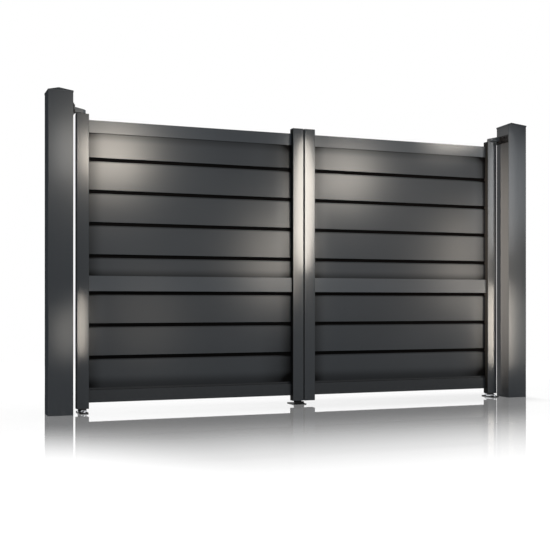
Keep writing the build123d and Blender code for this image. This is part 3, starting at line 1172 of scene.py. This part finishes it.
class GATE_OT_studio(bpy.types.Operator):
    """Set up the floor, the world, the soft lamps and the camera"""

    bl_idname = "gate.studio"
    bl_label = "Studio"

    def execute(self, context):
        studio = context.scene.gate_studio
        self.add_world(context.scene, studio)
        floor = self.add_floor(context.scene, studio)
        self.add_lamps(context.scene, studio, floor)
        self.add_camera(context.scene, studio)
        context.scene.view_settings.view_transform = "Standard"
        return {"FINISHED"}

    def seen(self, shader):
        """1 for rays that show the background: straight, mirrored or through glass."""
        camera = shader.node("ShaderNodeLightPath", output="Is Camera Ray")
        return camera + camera.output("Is Glossy Ray") + camera.output("Is Transmission Ray")

    def add_world(self, scene, studio):
        """A world that looks white and lights the gate softly from all round."""
        world = bpy.data.worlds.new("studio")
        scene.world = world
        shader = Shader(world)
        strength = studio.fill + self.seen(shader) * (1.0 - studio.fill)
        sockets = {"Color": grey(1.0), "Strength": strength}
        white = shader.node("ShaderNodeBackground", None, sockets)
        shader.node("ShaderNodeOutputWorld", None, {"Surface": white})

    def add_floor(self, scene, studio):
        """A round white floor just below the gate's feet."""
        centre = (cad_corners[0].x + cad_corners[1].x) / 2
        mesh = bpy.data.meshes.new("floor")
        bm = bmesh.new()
        points = circle_points(studio.floor_radius, -FLOOR_DROP, studio.floor_sides)
        bm.faces.new(ring(bm, Matrix.Translation((centre, 0.0, 0.0)), points))
        bm.to_mesh(mesh)
        bm.free()
        floor = bpy.data.objects.new("floor", mesh)
        scene.collection.objects.link(floor)
        mesh.materials.append(self.floor_material(studio, centre))
        return floor

    def floor_material(self, studio, centre):
        """Floor that mirrors the gate near it, takes its shadow, has a painted shadow under the
        leaves, and is plain white far off.
        """
        material = bpy.data.materials.new("studio_floor")
        shader = Shader(material)
        across, depth = shader.parts(shader.place())[:2]
        away = abs(depth)
        seen = self.seen(shader)
        least_reach = studio.mirror_reach - LEFT_REACH_LOSS
        reach = shader.ramp(across, low=-0.4, high=0.5) * LEFT_REACH_LOSS + least_reach
        mirror = (1.0 - shader.ramp(away / reach, low=0.3, high=1.8)) * studio.floor_mirror
        matt = shader.surface(
            {
                "Base Color": grey(FLOOR_GREY),
                "Roughness": 0.8,
                "Specular IOR Level": 0.0,
                "Emission Color": shader.mix(seen, grey(0.0), grey(studio.floor_glow)),
                "Emission Strength": 1.0,
            }
        )
        # Painted shadow: the floor's mirror grey is darkened near the leaves, more towards the
        # right, and not past the right post.
        from_left = shader.ramp(across, low=-1.0, high=3.6)
        past_right_post = shader.ramp(across, low=3.25, high=3.40)
        behind_front = 1.0 - shader.ramp(away, low=0.10, high=0.50)
        under = from_left * (1.0 - past_right_post) * behind_front
        mirror_grey_with_painted_shadow = shader.mix(under, grey(POLISH), grey(PAINTED_SHADOW_POLISH))
        glossy = shader.surface({"Base Color": mirror_grey_with_painted_shadow, "Metallic": 1.0, "Roughness": 0.03})
        near = shader.blend(mirror, matt, glossy)
        radius = ((across - centre) ** 2.0 + depth ** 2.0) ** 0.5
        far_colour = shader.mix(seen, grey(FAR_FLOOR_LIGHT), grey(1.0))
        white = shader.node("ShaderNodeEmission", None, {"Color": far_colour})
        shader.finish(shader.blend(shader.ramp(radius, low=3.2, high=6.0), near, white))
        return material

    def add_lamps(self, scene, studio, floor):
        """Lamps whose mirror images give the gate its highlights; they don't light the floor."""
        not_lit = bpy.data.collections.new("not_lit_by_lamps")
        not_lit.objects.link(floor)
        not_lit.collection_objects[0].light_linking.link_state = "EXCLUDE"
        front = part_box("left_meeting_stile")[0].y
        mirrored = Vector(studio.camera_place)
        mirrored.y = 2 * front - mirrored.y
        warm = Vector(studio.lamp_colour)
        cool = Vector(studio.daylight_colour)
        for name, x, z, distance, width, height, power, coolness, spread in LAMPS:
            target = Vector((x, front, z))
            ray = target - mirrored
            place = mirrored + ray * (1.0 + distance / abs(ray.y))
            lamp = self.add_lamp(scene, name, place, target, (width, height), power)
            lamp.data.spread = math.radians(spread)
            lamp.data.color = warm.lerp(cool, coolness)
        place = Vector(SIDE_LAMP_PLACE)
        target = Vector(SIDE_LAMP_TARGET)
        size = SIDE_LAMP_SIZE
        lamp = self.add_lamp(scene, "lamp_right_side", place, target, size, SIDE_LAMP_POWER)
        lamp.data.spread = SIDE_LAMP_SPREAD
        lamp.data.color = SIDE_LAMP_COLOUR
        lamp.visible_glossy = False

    def add_lamp(self, scene, name, place, target, size, power):
        """An elliptical soft lamp that stands at a place and faces a target."""
        light = bpy.data.lights.new(name, "AREA")
        light.shape = "ELLIPSE"
        light.size, light.size_y = size
        light.energy = power
        lamp = bpy.data.objects.new(name, light)
        lamp.location = place
        lamp.rotation_euler = (target - place).to_track_quat("-Z", "Y").to_euler()
        lamp.visible_camera = False
        lamp.light_linking.receiver_collection = bpy.data.collections["not_lit_by_lamps"]
        scene.collection.objects.link(lamp)
        return lamp

    def add_camera(self, scene, studio):
        """The level camera of the front view."""
        data = bpy.data.cameras.new("camera")
        data.sensor_width = 36.0
        data.lens = studio.focal_length
        data.shift_y = studio.camera_shift
        data.clip_end = 200.0
        camera = bpy.data.objects.new("camera", data)
        camera.location = studio.camera_place
        camera.rotation_euler = (math.pi / 2, 0.0, -studio.camera_heading)
        scene.collection.objects.link(camera)
        scene.camera = camera


class GATE_PT_panel(bpy.types.Panel):
    """Steps and settings of the gate"""

    bl_idname = "GATE_PT_panel"
    bl_label = "Driveway Gate"
    bl_space_type = "VIEW_3D"
    bl_region_type = "UI"
    bl_category = "Gate"

    def draw(self, context):
        layout = self.layout
        for step in STEPS:
            layout.operator(step.bl_idname)
        for group in GROUPS:
            settings = getattr(context.scene, group)
            box = layout.box()
            for name in settings.bl_rna.properties.keys():
                if name not in ("rna_type", "name"):
                    box.prop(settings, name)


GROUPS = {
    "gate_finishes": GateFinishes,
    "gate_fixings": GateFixings,
    "gate_studio": GateStudio,
}
STEPS = (
    GATE_OT_studio,
    GATE_OT_coats,
    GATE_OT_hardware,
    GATE_OT_edges,
    GATE_OT_bracket_bolts,
    GATE_OT_anchors,
    GATE_OT_stop_screws,
    GATE_OT_welds,
)


def register():
    """Register the settings, the operators and the panel."""
    for group, kind in GROUPS.items():
        bpy.utils.register_class(kind)
        setattr(bpy.types.Scene, group, PointerProperty(type=kind))
    for step in STEPS:
        bpy.utils.register_class(step)
    bpy.utils.register_class(GATE_PT_panel)


def unregister():
    """Take the panel, the operators and the settings away again."""
    bpy.utils.unregister_class(GATE_PT_panel)
    for step in reversed(STEPS):
        bpy.utils.unregister_class(step)
    for group, kind in reversed(GROUPS.items()):
        delattr(bpy.types.Scene, group)
        bpy.utils.unregister_class(kind)


def main():
    """Run every step in order."""
    register()
    for step in STEPS:
        area, name = step.bl_idname.split(".")
        if getattr(getattr(bpy.ops, area), name)() != {"FINISHED"}:
            raise RuntimeError(step.bl_label + " did not finish")


if __name__ == "__main__":
    main()
